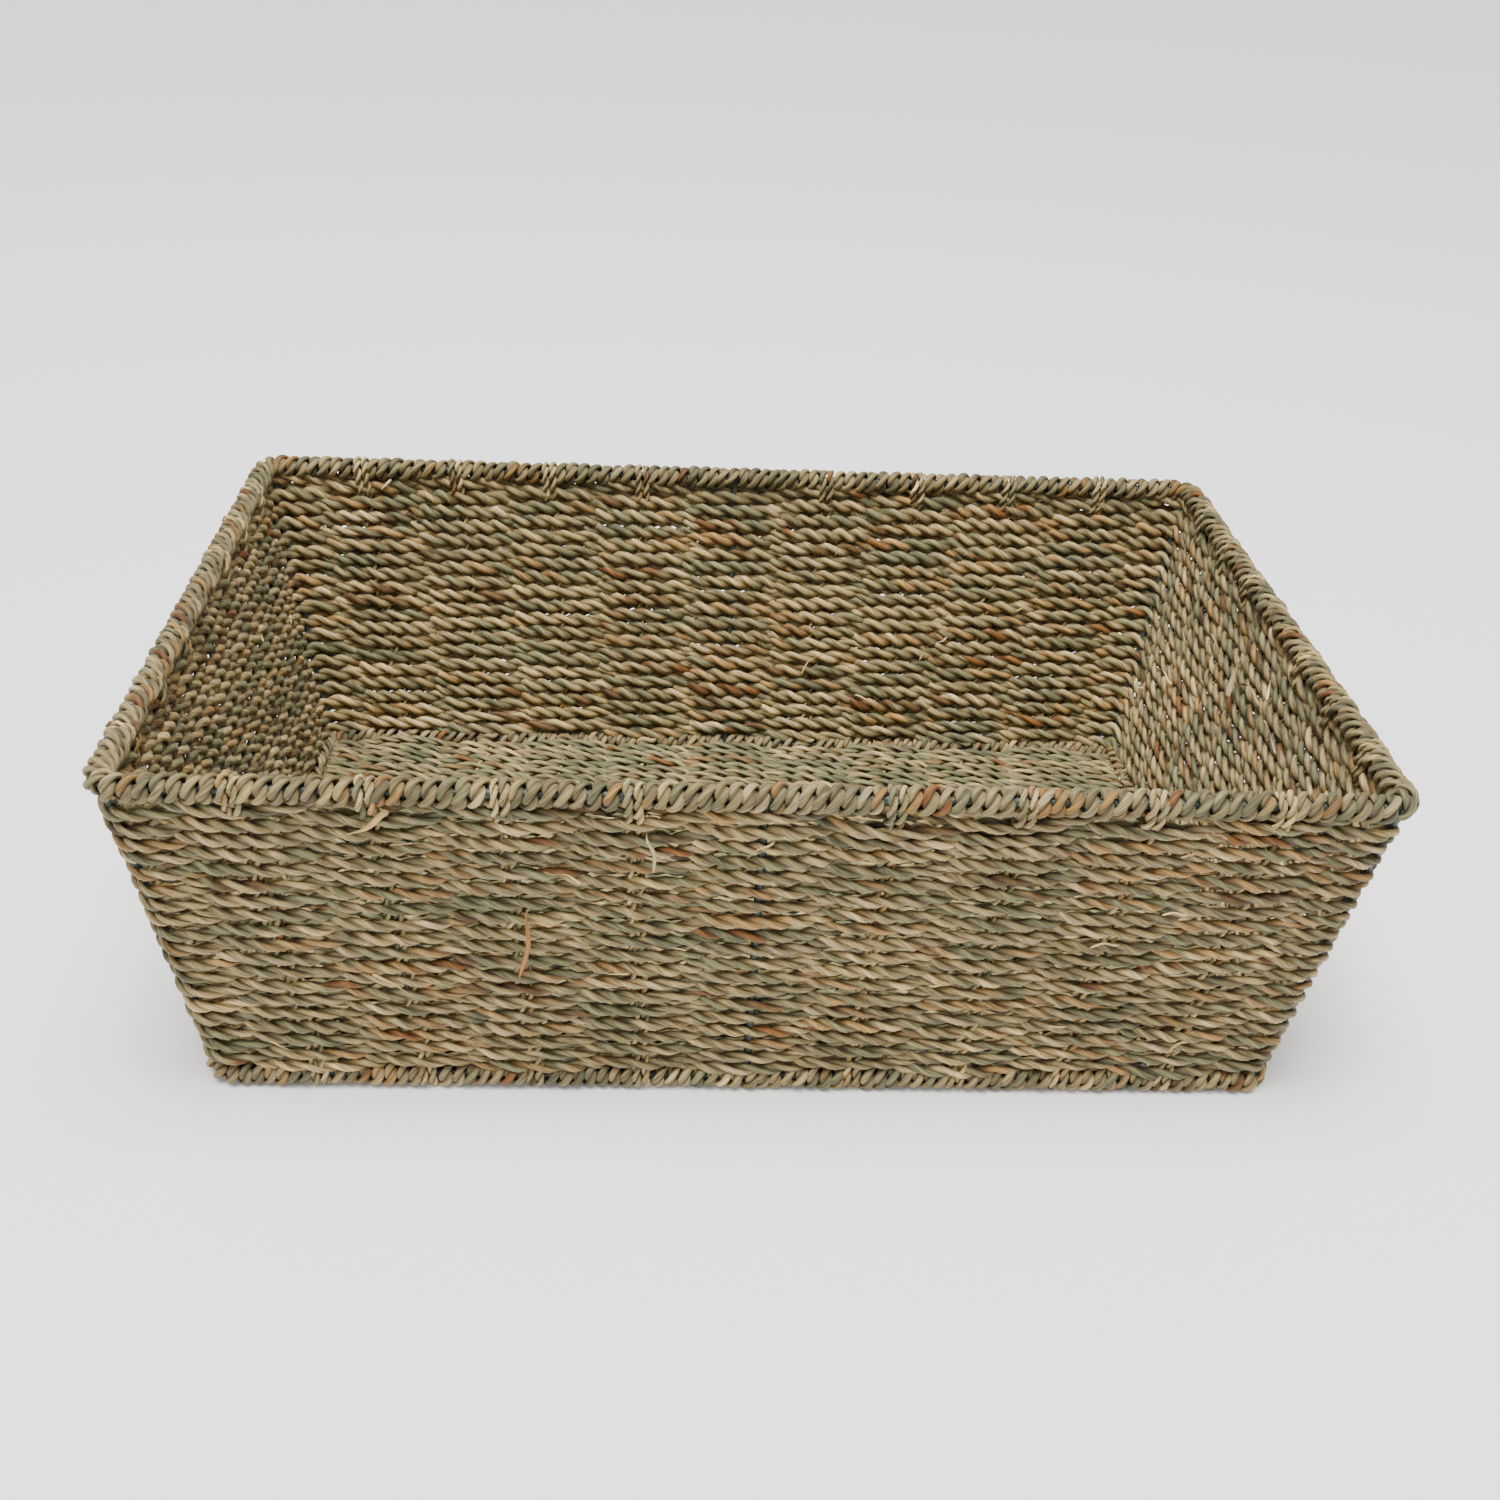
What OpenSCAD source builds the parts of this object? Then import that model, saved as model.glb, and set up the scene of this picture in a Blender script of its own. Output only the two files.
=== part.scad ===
// Open rectangular seagrass storage basket on a welded wire frame.
// The walls lean outward, so the rim is longer and wider than the base.
// Frame: origin under the middle of the base, +X along the length, +Z up, millimetres.

/* [Basket] */
// Length of the rim, between the centre lines of its wire
rim_length = 488; // [400:2:560]
// Width of the rim, between the centre lines of its wire
rim_width = 331; // [280:1:380]
// Length of the base, between the centre lines of its wire
base_length = 439; // [360:1:500]
// Width of the base, between the centre lines of its wire
base_width = 287; // [240:1:330]
// Height of the rim wire's centre line above the base wire's
wall_height = 148; // [110:1:200]

/* [Wire frame] */
// Diameter of the rim and base wires
ring_wire_d = 4; // [3:0.1:4]
// Diameter of the posts and the floor bar
post_wire_d = 3.6; // [2.4:0.1:3.6]
// Bend radius of the rim and base wires at their corners
corner_r = 9; // [8:0.5:12]

/* [Weave] */
// Stake spaces along a long side, an even number so that one stake is central
long_bays = 10; // [8:2:12]
// Stake spaces along a short side, an even number so that one stake is central
short_bays = 8; // [6:2:8]
// Courses of cord up a wall
courses = 37; // [30:1:40]
// Rows of cord across the floor
floor_rows = 72; // [60:1:80]
// Distance from the middle of the weave to the centres of its outer cords
weave_offset = 2.9; // [2.7:0.1:3]
// Diameter of one strand of a twin-cord stake
strand_d = 3.2; // [2.4:0.1:3.2]

/* [Binding] */
// Outside diameter of the cord wrapped round the rim and base wires
binding_d = 12.4; // [12.4:0.1:13]
// Height of the base wire's centre line above the surface below, less than the binding's radius
base_wire_z = 5.8; // [5.8:0.05:6]

/* [Hidden] */
$fn = 64;
RUNNING_GAP = 0.05;
// Bindings stop this many degrees short of the middle of a bend
MITRE_ANGLE = 0.5;
CLEARANCE = 0.3;
// The strands between the loops are thinner than the loops by this much all round
SHANK_RELIEF = 0.15;
// Ridges of the weave are this much fatter than their pitch, so that neighbours merge
RIDGE_SWELL = 1.05;
// Longer than any side of the basket
FAR = 600;

ring_wire_r = ring_wire_d / 2;
post_wire_r = post_wire_d / 2;
binding_r = binding_d / 2;
rim_wire_z = base_wire_z + wall_height;

// A stake's strand loops round the ring wires on this radius
loop_r = ring_wire_r + strand_d / 2 + RUNNING_GAP;
// Centre lines of a stake's two strands, either side of its middle
strand_offset = strand_d / 2 + RUNNING_GAP;
stake_w = 2 * strand_d + 2 * RUNNING_GAP;
shank_r = strand_d / 2 - SHANK_RELIEF;

// Room that the weave leaves beside each ring wire
weave_margin = binding_r + CLEARANCE;
slot_w = stake_w + 4 * CLEARANCE;
slot_depth = strand_d + 2 * CLEARANCE;
post_slot = post_wire_d + 2 * CLEARANCE;
bar_slot = post_wire_d + 3 * CLEARANCE;
pocket_r = loop_r + strand_d / 2 + RUNNING_GAP * 4;

// The four walls, counterclockwise from the front, each described as if it were the front one
FRONT = 0;
RIGHT = 1;
BACK = 2;
LEFT = 3;
SIDES = ["front", "right", "back", "left"];

function is_long(side) = side == FRONT || side == BACK;
function base_run(side) = is_long(side) ? base_length : base_width;
function rim_run(side) = is_long(side) ? rim_length : rim_width;
function base_reach(side) = (is_long(side) ? base_width : base_length) / 2;
function rim_reach(side) = (is_long(side) ? rim_width : rim_length) / 2;
function bays(side) = is_long(side) ? long_bays : short_bays;
function lean(side) = atan((rim_reach(side) - base_reach(side)) / wall_height);
function slope_length(side) = wall_height / cos(lean(side));
function middle(side) = bays(side) / 2;
function stake_at(run, side, i) = run * (i / bays(side) - 0.5);
function base_x(side, i) = stake_at(base_run(side), side, i);
function rim_x(side, i) = stake_at(rim_run(side), side, i);
function fan(side, i) = atan((rim_x(side, i) - base_x(side, i)) / slope_length(side));
function stake_length(side, i) = slope_length(side) / cos(fan(side, i));
function twin_stakes(side) = [for (i = [1 : bays(side) - 1]) if (i != middle(side)) i];

// Outward normal of a wall in its own front-facing view
function wall_normal(side) = [0, -cos(lean(side)), -sin(lean(side))];
// The neighbouring wall at the left end of that view leans by the other angle
function neighbour(side) = is_long(side) ? RIGHT : FRONT;
function neighbour_normal(side) = [-cos(lean(neighbour(side))), 0, -sin(lean(neighbour(side)))];

// The four corners, counterclockwise from the front left
CORNERS = ["front_left", "front_right", "back_right", "back_left"];

WIRE = [0.33, 0.37, 0.30];
STRAW = [0.74, 0.67, 0.52];
WEAVE = [0.60, 0.58, 0.46];
FLOOR = [0.54, 0.54, 0.43];
STAKE = [0.64, 0.60, 0.47];

// ---- placing ----

// Turns the front-facing view of a wall to its own side of the basket
module turn_to(side) {
    rotate([0, 0, 90 * side]) children();
}

// Puts the origin on the base wire in the middle of a side, with +Z up the slope of the wall
module on_wall(side) {
    turn_to(side)
        translate([0, -base_reach(side), base_wire_z])
            rotate([lean(side), 0, 0]) children();
}

// Puts the origin on the base wire under stake i, with +Z along the stake
module on_stake(side, i) {
    on_wall(side)
        translate([base_x(side, i), 0, 0])
            rotate([0, fan(side, i), 0]) children();
}

// Everything on the side of a plane that its normal points to
module half_space(point, normal) {
    tilt = acos(normal.z / norm(normal));
    translate(point)
        rotate([0, tilt, atan2(normal.y, normal.x)])
            translate([-FAR / 2, -FAR / 2, 0]) cube(FAR);
}

// A rod of the given radius from one point to another
module rod(from, to, r) {
    reach = to - from;
    translate(from)
        rotate([0, acos(reach.z / norm(reach)), atan2(reach.y, reach.x)])
            cylinder(r = r, h = norm(reach));
}

// Square bar along the line between two points, for cutting room for a post
module square_rod(from, to, width) {
    reach = to - from;
    translate(from)
        rotate([0, acos(reach.z / norm(reach)), atan2(reach.y, reach.x)])
            translate([-width / 2, -width / 2, 0]) cube([width, width, norm(reach)]);
}

module along_x(r, length) {
    translate([-length / 2, 0, 0]) rotate([0, 90, 0]) cylinder(r = r, h = length);
}

// ---- wire frame ----

// Closed rounded rectangle of wire, or of anything else round in section
module ring(length, width, z, r) {
    for (side = [FRONT : LEFT]) {
        run = is_long(side) ? length : width;
        reach = (is_long(side) ? width : length) / 2;
        translate([0, 0, z]) turn_to(side) {
            translate([0, -reach, 0]) along_x(r, run - 2 * corner_r);
            translate([run / 2 - corner_r, corner_r - reach, 0]) bend(r, 90);
        }
    }
}

// Bend of a round bar that starts along +X and turns towards +Y
module bend(r, angle) {
    rotate([0, 0, -90])
        rotate_extrude(angle = angle) translate([corner_r, 0]) circle(r = r);
}

module base_ring(r) {
    ring(base_length, base_width, base_wire_z, r);
}

module rim_ring(r) {
    ring(rim_length, rim_width, rim_wire_z, r);
}

module rim_wire() {
    color(WIRE) rim_ring(ring_wire_r);
}

module base_wire() {
    color(WIRE) base_ring(ring_wire_r);
}

// Middle of a ring's bend at a corner, 0 to 3 counterclockwise from the front left
function bend_middle(corner, length, width, z) =
    let (x = length / 2 - corner_r * (1 - sqrt(0.5)))
    let (y = width / 2 - corner_r * (1 - sqrt(0.5)))
    let (sx = corner == 0 || corner == 3 ? -1 : 1)
    let (sy = corner < 2 ? -1 : 1)
    [sx * x, sy * y, z];
function post_foot(corner) = bend_middle(corner, base_length, base_width, base_wire_z);
function post_head(corner) = bend_middle(corner, rim_length, rim_width, rim_wire_z);

// Corner posts are butt welded between the bends of the two rings
module corner_post(corner) {
    color(WIRE) difference() {
        rod(post_foot(corner), post_head(corner), post_wire_r);
        base_ring(ring_wire_r);
        rim_ring(ring_wire_r);
    }
}

// The post in the middle of a wall
module centre_post(side) {
    color(WIRE) difference() {
        on_stake(side, middle(side)) cylinder(r = post_wire_r, h = slope_length(side));
        base_ring(ring_wire_r);
        rim_ring(ring_wire_r);
    }
}

// Bar across the floor, between the feet of the front and back centre posts
module floor_bar() {
    color(WIRE) difference() {
        rod([0, -base_width / 2, base_wire_z], [0, base_width / 2, base_wire_z], post_wire_r);
        base_ring(ring_wire_r);
    }
}

// ---- stakes: twin cords looped over the rim wire ----

// One turn of a strand round a ring wire that lies along X
module wire_loop() {
    rotate([0, 90, 0])
        rotate_extrude() translate([loop_r, 0]) circle(r = strand_d / 2);
}

// The part of a stake that stands in a wall, with a loop at its foot and its head
module standing_stake(side, i) {
    for (s = [-1, 1]) {
        foot_x = base_x(side, i) + s * strand_offset;
        head_x = rim_x(side, i) + s * strand_offset;
        on_wall(side)
            rod([foot_x, 0, loop_r], [head_x, 0, slope_length(side) - loop_r], shank_r);
        turn_to(side) {
            translate([foot_x, -base_reach(side), base_wire_z]) wire_loop();
            translate([head_x, -rim_reach(side), rim_wire_z]) wire_loop();
        }
    }
}

// A stake that runs from the front rim down, across the floor and up to the back rim
module cross_stake(i) {
    color(STAKE) {
        standing_stake(FRONT, i);
        standing_stake(BACK, long_bays - i);
        for (s = [-1, 1])
            translate([base_x(FRONT, i) + s * strand_offset, loop_r - base_width / 2, base_wire_z])
                rotate([-90, 0, 0]) cylinder(r = shank_r, h = base_width - 2 * loop_r);
    }
}

module end_stake(side, i) {
    color(STAKE) standing_stake(side, i);
}

// ---- weave ----

function ridge_r(pitch) = pitch / 2 * RIDGE_SWELL;

// Section through a panel: a core with one rounded ridge per cord on each face
module weave_section(length, cords) {
    pitch = length / cords;
    translate([-weave_offset, 0]) square([2 * weave_offset, length]);
    for (k = [0 : cords - 1])
        for (s = [-1, 1])
            translate([s * weave_offset, (k + 0.5) * pitch]) circle(r = ridge_r(pitch));
}

// The same section run along X, with the section's own x across the panel and y up it
module weave_slab(length, cords, run) {
    translate([-run / 2, 0, 0])
        rotate([90, 0, 90]) linear_extrude(height = run) weave_section(length, cords);
}

function course_pitch(side) = (slope_length(side) - 2 * weave_margin) / courses;
function half_thickness(side) = weave_offset + ridge_r(course_pitch(side));

// Room round a wall's twin stakes and its centre post
module wall_slots(side) {
    for (i = twin_stakes(side))
        on_stake(side, i)
            translate([-slot_w / 2, -slot_depth / 2, 0])
                cube([slot_w, slot_depth, stake_length(side, i)]);
    on_stake(side, middle(side))
        translate([-post_slot / 2, -post_slot / 2, 0])
            cube([post_slot, post_slot, stake_length(side, middle(side))]);
}

// What lies beyond the rounded corner and the mitre at the left end of a wall
module beyond_left_end(side) {
    sharp_foot = [-base_run(side) / 2, -base_reach(side), base_wire_z];
    sharp_head = [-rim_run(side) / 2, -rim_reach(side), rim_wire_z];
    inset = [
        corner_r / cos(lean(neighbour(side))),
        corner_r / cos(lean(side)),
        0
    ];
    edge = sharp_head - sharp_foot;
    across = cross(edge, wall_normal(side));
    mitre = wall_normal(side) - neighbour_normal(side);
    half_space(sharp_foot + [CLEARANCE / 2, 0, 0], -mitre);
    difference() {
        half_space(sharp_foot + inset, across.x < 0 ? across : -across);
        rod(
            sharp_foot + inset - edge / 4,
            sharp_head + inset + edge / 4,
            corner_r + half_thickness(side) + CLEARANCE
        );
    }
}

// One wall of the basket, mitred against its neighbours at the corner posts
module wall_panel(side) {
    color(WEAVE) difference() {
        on_wall(side)
            translate([0, 0, weave_margin])
                weave_slab(slope_length(side) - 2 * weave_margin, courses, rim_run(side));
        wall_slots(side);
        turn_to(side) {
            beyond_left_end(side);
            mirror([1, 0, 0]) beyond_left_end(side);
        }
        for (corner = [0 : 3])
            square_rod(post_foot(corner), post_head(corner), post_slot);
    }
}

// The floor, woven along X inside the base wire, with its corners cut off inside the bends
module floor_panel() {
    run_y = base_width - 2 * weave_margin;
    run_x = base_length - 2 * weave_margin;
    corner_cut = corner_r;
    color(FLOOR) difference() {
        translate([0, -run_y / 2, base_wire_z])
            rotate([-90, 0, 0]) weave_slab(run_y, floor_rows, run_x);
        for (i = twin_stakes(FRONT))
            translate([base_x(FRONT, i), 0, base_wire_z])
                cube([slot_w, FAR, slot_depth], center = true);
        translate([0, 0, base_wire_z]) cube([bar_slot, FAR, bar_slot], center = true);
        for (sx = [-1, 1])
            for (sy = [-1, 1])
                translate([sx * run_x / 2, sy * run_y / 2, base_wire_z])
                    rotate([0, 0, 45]) cube([corner_cut, corner_cut, FAR], center = true);
    }
}

// ---- bindings ----

// Round bar that follows a ring along one side and some way into the bend at each end
module sleeve(run, reach, z, r, angle) {
    translate([0, -reach, z]) along_x(r, run - 2 * corner_r);
    for (s = [0, 1])
        mirror([s, 0, 0])
            translate([run / 2 - corner_r, corner_r - reach, z]) bend(r, angle);
}

// A binding's sleeve round its wire, before the slots are cut
module bound_side(side, run, reach, z) {
    turn_to(side) difference() {
        sleeve(run, reach, z, binding_r, 45 - MITRE_ANGLE);
        sleeve(run, reach, z, ring_wire_r + RUNNING_GAP, 45 + MITRE_ANGLE);
    }
}

// Pockets round the stakes' loops, along a wire in front of the viewer
module loop_pockets(side, run, reach, z) {
    turn_to(side)
        for (i = twin_stakes(side))
            translate([stake_at(run, side, i), -reach, z]) along_x(pocket_r, slot_w);
}

module rim_binding(side) {
    color(STRAW) difference() {
        bound_side(side, rim_run(side), rim_reach(side), rim_wire_z);
        loop_pockets(side, rim_run(side), rim_reach(side), rim_wire_z);
        wall_slots(side);
        for (corner = [0 : 3])
            square_rod(post_foot(corner), post_head(corner), post_slot);
    }
}

module base_binding(side) {
    color(STRAW) difference() {
        bound_side(side, base_run(side), base_reach(side), base_wire_z);
        loop_pockets(side, base_run(side), base_reach(side), base_wire_z);
        wall_slots(side);
        floor_slots(side);
        for (corner = [0 : 3])
            square_rod(post_foot(corner), post_head(corner), post_slot);
        translate([-FAR, -FAR, -FAR]) cube([2 * FAR, 2 * FAR, FAR]);
    }
}

// Room where the floor's stakes and its bar pass a long side's binding
module floor_slots(side) {
    if (is_long(side))
        turn_to(side) {
            for (i = twin_stakes(side))
                translate([base_x(side, i) - slot_w / 2, -base_reach(side), base_wire_z - slot_depth / 2])
                    cube([slot_w, base_reach(side), slot_depth]);
            translate([-bar_slot / 2, -base_reach(side), base_wire_z - bar_slot / 2])
                cube([bar_slot, base_reach(side), bar_slot]);
        }
}

// ---- the basket ----

rim_wire();
base_wire();
floor_bar();
for (side = [FRONT : LEFT]) {
    centre_post(side);
    wall_panel(side);
    rim_binding(side);
    base_binding(side);
}
for (corner = [0 : 3])
    corner_post(corner);
for (i = twin_stakes(FRONT))
    cross_stake(i);
for (side = [RIGHT, LEFT])
    for (i = twin_stakes(side))
        end_stake(side, i);
floor_panel();  // weave_floor
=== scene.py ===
"""Looks of the seagrass storage basket. Its weave and bindings are two-ply cords, each one modelled.

Lengths are in metres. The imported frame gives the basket's sizes, and the numbers under "cord looks" give the
weave its character. All random draws are seeded.
"""
import math

import bpy
import numpy as np
from mathutils import Matrix, Vector


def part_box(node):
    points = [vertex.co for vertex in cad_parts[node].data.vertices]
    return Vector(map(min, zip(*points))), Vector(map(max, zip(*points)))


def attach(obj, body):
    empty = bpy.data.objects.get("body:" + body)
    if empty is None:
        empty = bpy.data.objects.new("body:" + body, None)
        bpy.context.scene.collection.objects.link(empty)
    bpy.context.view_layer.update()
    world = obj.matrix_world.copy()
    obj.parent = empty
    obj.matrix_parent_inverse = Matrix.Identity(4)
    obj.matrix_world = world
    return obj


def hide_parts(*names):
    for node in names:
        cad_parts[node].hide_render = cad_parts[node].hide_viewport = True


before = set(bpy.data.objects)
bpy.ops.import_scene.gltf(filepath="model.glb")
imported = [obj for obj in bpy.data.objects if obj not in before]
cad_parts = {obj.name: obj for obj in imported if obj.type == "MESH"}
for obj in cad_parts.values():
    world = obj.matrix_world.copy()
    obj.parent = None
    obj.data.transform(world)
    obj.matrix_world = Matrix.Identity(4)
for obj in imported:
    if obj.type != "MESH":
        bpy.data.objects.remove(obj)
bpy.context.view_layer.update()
MM = 0.001
TAU = 2 * math.pi


# ---- the basket's driving sizes, read from the frame ----

def node_box(name):
    low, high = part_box(name)
    return np.array(low), np.array(high)


rim_low, rim_high = node_box("rim_wire")
base_low, base_high = node_box("base_wire")
WIRE_R = (rim_high[2] - rim_low[2]) / 2
RIM_Z = (rim_high[2] + rim_low[2]) / 2
BASE_Z = (base_high[2] + base_low[2]) / 2
RIM_HALF = (rim_high[:2] - rim_low[:2]) / 2 - WIRE_R
BASE_HALF = (base_high[:2] - base_low[:2]) / 2 - WIRE_R
SLOPE_HEIGHT = RIM_Z - BASE_Z

# The bend of both rings at their corners, which no box gives
CORNER_R = 9 * MM

LONG_BAYS = 2 + sum(name.startswith("cross_stake_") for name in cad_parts)
SHORT_BAYS = 2 + sum(name.startswith("left_stake_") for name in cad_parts)
SIDE_NAMES = ["front", "right", "back", "left"]
SIDE_BAYS = [LONG_BAYS, SHORT_BAYS, LONG_BAYS, SHORT_BAYS]

# ---- cord looks ----

# Courses round the walls, the untidy ones among them just under the rim, and the rows across the floor.
# Bands are the visible pieces that each weave is divided into.
COURSES = 37
UNTIDY_COURSES = 5
COURSE_BANDS = 6
FLOOR_ROWS = 72
FLOOR_BANDS = 3

# The wall weft, and how it is pressed: first square to the wall, then along it. It spreads more on the back
# and end walls and less on the front. Its painted groove shade is darker on the outward side than on the
# inward one, by WEFT_SHADE.
WEFT_D = 5.6 * MM
WEFT_SIZES = (0.93, 1.06)
WEFT_LAY = 20.5 * MM
WEFT_LAYS = (0.86, 1.16)
PRESSED = (0.88, 1.2)
EXTRA_SPREAD = 0.13
FRONT_SLIMNESS = 0.22
WEFT_SHADE = 0.42

# How far the weft's middle swings to either side of the stakes, and how closely it hugs them
WEAVE_REACH = 2.3 * MM
SHORT_SIDE_REACH = 1.4 * MM
BACK_REACH = 1.8 * MM
REACH_DRIFT = 0.16
HUG = 1.3

# A course turns from a long wall's ways to an end wall's while the sideways part of its outward direction
# goes from here over this much
BEND_START, BEND_SPAN = 0.3, 0.4

# Room between the ring wires' middles and the weave
RIM_MARGIN = 4.4 * MM
BASE_MARGIN = 3.8 * MM

# How far a course strays up and down, in mm: on a tidy course, and what an untidy one adds
WAVE = (0.45, 0.7)
RIPPLE = (0.30, 0.3)
DIP_AT_STAKES = (0.2, 0.9)
FRONT_UNTIDINESS = (0.45, 0.55)
FRONT_SAG = 5.0 * MM
SAG_SHARES = (0.12, 0.88)

# Changes of course in one lap of the basket
REACH_KNOTS, HOLLOW_KNOTS, WAVE_KNOTS, RIPPLE_KNOTS = 36, 34, 44, 100

# The floor weft
FLOOR_CORD_D = 5.0 * MM
FLOOR_SIZES = (0.94, 1.05)
FLOOR_LAYS = (0.9, 1.15)
FLOOR_PRESSED = (0.9, 1.25)
FLOOR_REACH = 2.55 * MM
FLOOR_REACH_DRIFT = 0.15
FLOOR_SWAY = 0.35 * MM
FLOOR_REACH_KNOTS, FLOOR_SWAY_KNOTS = 12, 9
FLOOR_MARGIN = 5.0 * MM
FLOOR_END_MARGIN = 4.5 * MM
FLOOR_FADE = 14 * MM
# FLOOR_FACING scales the painted shade on a row's side hidden against the stakes, and FLOOR_SHADE makes the
# painted groove shade lighter on the upper side and darker underneath
FLOOR_FACING = 0.2
FLOOR_SHADE = -0.55

# Stakes: doubled cords, their loops round the ring wires, and the room that the bindings leave for them
STAKE_D = 4.2 * MM
STAKE_LAY = 12 * MM
STRAND_OFFSET = 1.95 * MM
RIM_LOOP = 2.3 * MM
BASE_LOOP = 1.8 * MM
STAKE_ROOM = 7.6 * MM

# Distances between points along the paths of cords, and the steps in each span before they are evened out
RING_STEP = 1.6 * MM
BINDING_STEP = 1.1 * MM
STAKE_STEP = 1.7 * MM
FIBRE_STEP = 1.2 * MM
SPAN_STEPS = 12

# First seeds: each course, row, stake and binding has a generator of its own
HOLLOW_SEED, COURSE_SEED, ROW_SEED = 90, 100, 300
CROSS_STAKE_SEED, SIDE_STAKE_SEED, BINDING_SEED, FIBRE_SEED = 500, 600, 700, 900


# ---- the two-ply cord ----

class Section:
    """Outline of a cord: one half, its mirror image, and how far each point stands out of the groove, which
    sets how much painted groove shade it gets.
    """

    def __init__(self, half, height):
        self.points = np.concatenate([half, -half])
        self.height = np.tile(height, 2)
        self.sides = len(self.points)
        self.per_ply = len(half)


PLY_OFFSET = 0.8
# How narrowly the painted groove shade gathers round the groove
GROOVE_NARROWNESS = 0.4


def two_ply(points_per_ply):
    """Two round plies pressed together, each with its middle PLY_OFFSET of its radius off the cord's axis."""
    ply = 1 / (1 + PLY_OFFSET)
    groove = math.acos(-PLY_OFFSET)
    steps = np.linspace(-groove, groove, points_per_ply + 1)[:-1]
    half = np.stack([PLY_OFFSET * ply + ply * np.cos(steps), ply * np.sin(steps)], axis=1)
    half[0, 0] = 0
    return Section(half, (1 - np.abs(steps) / groove) ** GROOVE_NARROWNESS)


# Outlines for the bindings, for all other cords, and for stray leaves
FINE = two_ply(7)
PLAIN = two_ply(6)
LEAF = Section(np.array([[1, 0], [0.5, 0.16], [-0.5, 0.16]]), np.ones(3))


def unit(v):
    return v / np.maximum(np.linalg.norm(v, axis=-1, keepdims=True), 1e-12)


def wander(rng, count, knots, closed=False):
    """Smooth random values, about -1 to 1, with a given number of free knots along them."""
    knots = max(int(knots), 2)
    values = rng.uniform(-1, 1, knots)
    if closed:
        at = np.arange(count) * knots / count
        values = np.append(values, values[0])
    else:
        at = np.linspace(0, knots - 1, count)
    low = np.minimum(at.astype(int), len(values) - 2)
    part = at - low
    part = part * part * (3 - 2 * part)
    return values[low] * (1 - part) + values[low + 1] * part


def even_path(points, step, closed=False):
    """The same line with points a step apart, and any other columns carried along."""
    if closed:
        points = np.concatenate([points, points[:1]])
    gaps = np.linalg.norm(np.diff(points[:, :3], axis=0), axis=1)
    at = np.concatenate([[0], np.cumsum(gaps)])
    count = max(int(round(at[-1] / step)), 4)
    wanted = np.linspace(0, at[-1], count + 1)
    if closed:
        wanted = wanted[:-1]
    return np.stack([np.interp(wanted, at, column) for column in points.T], axis=1)


def rounded_line(corners, step):
    """A smooth open line through a few points (Catmull-Rom), sampled a step apart."""
    corners = np.asarray(corners, float)
    padded = np.concatenate([[2 * corners[0] - corners[1]], corners, [2 * corners[-1] - corners[-2]]])
    t = np.linspace(0, 1, SPAN_STEPS, endpoint=False)[:, None]
    parts = []
    for a, b, c, d in zip(padded, padded[1:], padded[2:], padded[3:]):
        parts.append(0.5 * (2 * b + (c - a) * t + (2 * a - 5 * b + 4 * c - d) * t**2
                            + (3 * b - a - 3 * c + d) * t**3))
    parts.append(corners[-1:])
    return even_path(np.concatenate(parts), step)


# ---- colours ----

def linear(*srgb):
    """A colour given as 0 to 255 on a screen, as the shader's numbers."""
    c = np.array(srgb, float) / 255
    return np.where(c <= 0.04045, c / 12.92, ((c + 0.055) / 1.055) ** 2.4)


# What a dry stretch adds to the colour, the painted shade that a groove and a hidden side take away, and how
# much of that painted hidden-side shade counts on a cord that lies outside its stake
DRY_TONE = np.array([0.10, 0.06, 0.0])
GROOVE_SHADE = np.array([0.68, 0.74, 0.81])
HIDDEN_SHADE = np.array([0.74, 0.79, 0.85])
INNER_SIDE_SHADE_SHARE = 0.05
WARMTH = np.array([1.0, 0.93, 0.87])

# Leaves in a ply: their lengths as shares of the usual one, their tones, and how one gives way to the next.
# More are drawn than the ply can need.
LEAF_LENGTHS = (0.35, 1.65)
SPARE_LEAVES = 1.6
LEAF_TONES = (0.72, 1.25)
LEAF_BLEND = 6 * MM
LEAF_DRIFT, LEAF_DRIFT_LENGTH = 0.10, 0.009
USUAL_LEAF, BINDING_LEAF = 22 * MM, 30 * MM


class Palette:
    """Leaf colours and how often each one comes up."""

    def __init__(self, *entries):
        self.colours = np.array([linear(*rgb) for _, rgb in entries]) * WARMTH
        weights = np.array([share for share, _ in entries], float)
        self.chances = weights / weights.sum()

    def along(self, rng, s, leaf):
        """Colours at distances s along one ply, whose leaves have a usual length."""
        count = int(s[-1] / leaf * SPARE_LEAVES) + 4
        starts = np.cumsum(rng.uniform(*LEAF_LENGTHS, count) * leaf) - leaf
        picks = self.colours[rng.choice(len(self.colours), count, p=self.chances)]
        picks = picks * rng.uniform(*LEAF_TONES, (count, 1))
        index = np.clip(np.searchsorted(starts, s) - 1, 0, count - 2)
        part = np.clip((s - starts[index + 1] + LEAF_BLEND) / LEAF_BLEND, 0, 1)[:, None]
        colours = picks[index] * (1 - part) + picks[index + 1] * part
        return colours * (1 + LEAF_DRIFT * wander(rng, len(s), s[-1] / LEAF_DRIFT_LENGTH)[:, None])


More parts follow.
